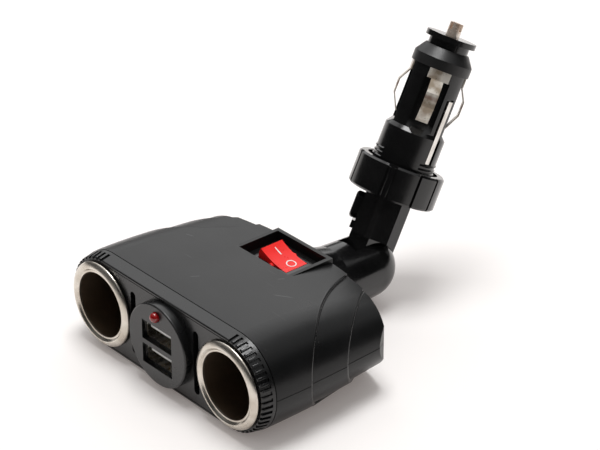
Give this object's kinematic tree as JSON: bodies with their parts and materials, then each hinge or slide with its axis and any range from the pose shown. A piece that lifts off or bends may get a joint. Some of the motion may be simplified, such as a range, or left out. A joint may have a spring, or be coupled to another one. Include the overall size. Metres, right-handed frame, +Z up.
{
  "type": "cigarette lighter socket splitter",
  "caption": "Flat car power splitter with lighter sockets, USB ports and a rocker switch on the housing, fed by a plug on a folding arm.",
  "frame": {"origin": "on the flat underside, on the mid-plane between the sockets, 30 mm behind the socket rims", "axes": "+X across the sockets, +Y from the sockets to the plug, +Z up from the underside"},
  "size_m": [0.0904, 0.1246, 0.0836],
  "materials": {
    "satin_black_plastic": "satin",
    "gloss_black_plastic": "glossy",
    "red_plastic": "glossy",
    "red_lens": "clear",
    "nickel": "plated",
    "brass": "polished",
    "steel": "zinc plated",
    "insulator": "matte",
    "pale_plastic": "matte",
    "board_green": "satin",
    "coil": "matte",
    "can": "drawn",
    "fuse_glass": "clear"
  },
  "bodies": {
    "housing": {"upper_housing": "satin_black_plastic", "lower_housing": "satin_black_plastic", "housing_screws": "steel", "front_bezel": "satin_black_plastic", "left_socket_shell": "nickel", "right_socket_shell": "nickel", "left_socket_insulator": "insulator", "right_socket_insulator": "insulator", "left_centre_contact": "brass", "right_centre_contact": "brass", "usb_faceplate": "satin_black_plastic", "upper_usb_port": "nickel", "lower_usb_port": "nickel", "upper_usb_tongue": "pale_plastic", "lower_usb_tongue": "pale_plastic", "usb_contacts": "brass", "port_spacer": "insulator", "power_led": "red_lens", "usb_board": "board_green", "inductor": "coil", "capacitors": "can", "switch_body": "gloss_black_plastic", "switch_terminals": "brass", "elbow": "gloss_black_plastic", "hinge_pin": "steel"},
    "plug": {"arm": "gloss_black_plastic", "plug_barrel": "gloss_black_plastic", "contact_strips": "nickel", "front_right_contact": "nickel", "front_left_contact": "nickel", "rear_left_contact": "nickel", "rear_right_contact": "nickel", "nose_ring": "gloss_black_plastic", "fuse_cap": "gloss_black_plastic", "fuse_spring": "steel"},
    "ring": {"lock_ring": "gloss_black_plastic"},
    "switch_rocker": {"rocker": "red_plastic"},
    "button": {"release_button": "gloss_black_plastic"},
    "tip": {"tip_contact": "nickel", "fuse": "fuse_glass"}
  },
  "joints": [
    {"name": "arm_fold", "type": "hinge", "parent": "housing", "child": "plug", "pos_m": [0, 0.0492, 0.012], "axis": [1, 0, 0], "range_deg": [-62, 20]},
    {"name": "lock_ring_turn", "type": "hinge", "parent": "plug", "child": "ring", "pos_m": [0, 0.06281, 0.03761], "axis": [0, 0.4695, 0.8829], "continuous": true},
    {"name": "rocker_tilt", "type": "hinge", "parent": "housing", "child": "switch_rocker", "pos_m": [0, 0.0169, 0.0257], "axis": [0, -1, 0], "range_deg": [0, 32]},
    {"name": "button_press", "type": "slide", "parent": "plug", "child": "button", "axis": [0.7626, 0.5711, -0.3037], "range_m": [0, 0.0012], "stiffness_N_per_m": 400},
    {"name": "tip_plunge", "type": "slide", "parent": "plug", "child": "tip", "axis": [0, -0.4695, -0.8829], "range_m": [0, 0.003], "stiffness_N_per_m": 600, "deforming": ["fuse_spring"]}
  ]
}
